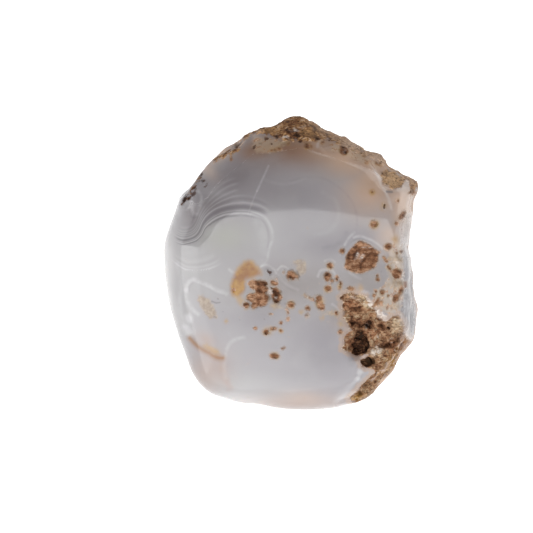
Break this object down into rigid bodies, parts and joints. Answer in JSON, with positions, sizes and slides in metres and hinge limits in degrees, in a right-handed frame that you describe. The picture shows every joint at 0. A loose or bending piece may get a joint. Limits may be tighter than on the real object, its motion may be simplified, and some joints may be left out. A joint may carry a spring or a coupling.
{
  "type": "polished agate",
  "caption": "Freeform agate stone with a domed polished face, rolled polished left and lower edges, rough rind along the top and right and a ground flat back.",
  "frame": {"origin": "on the resting plane, under the middle of the stone's bounding box", "axes": "+Z out of the polished face, +Y towards the lumpy rind at the top of the face, +X towards the broken side"},
  "size_m": [0.0612, 0.0706, 0.03],
  "materials": {
    "agate": "polished translucent grey chalcedony with tan rind"
  },
  "bodies": {
    "root": {"agate": "agate"}
  },
  "joints": []
}
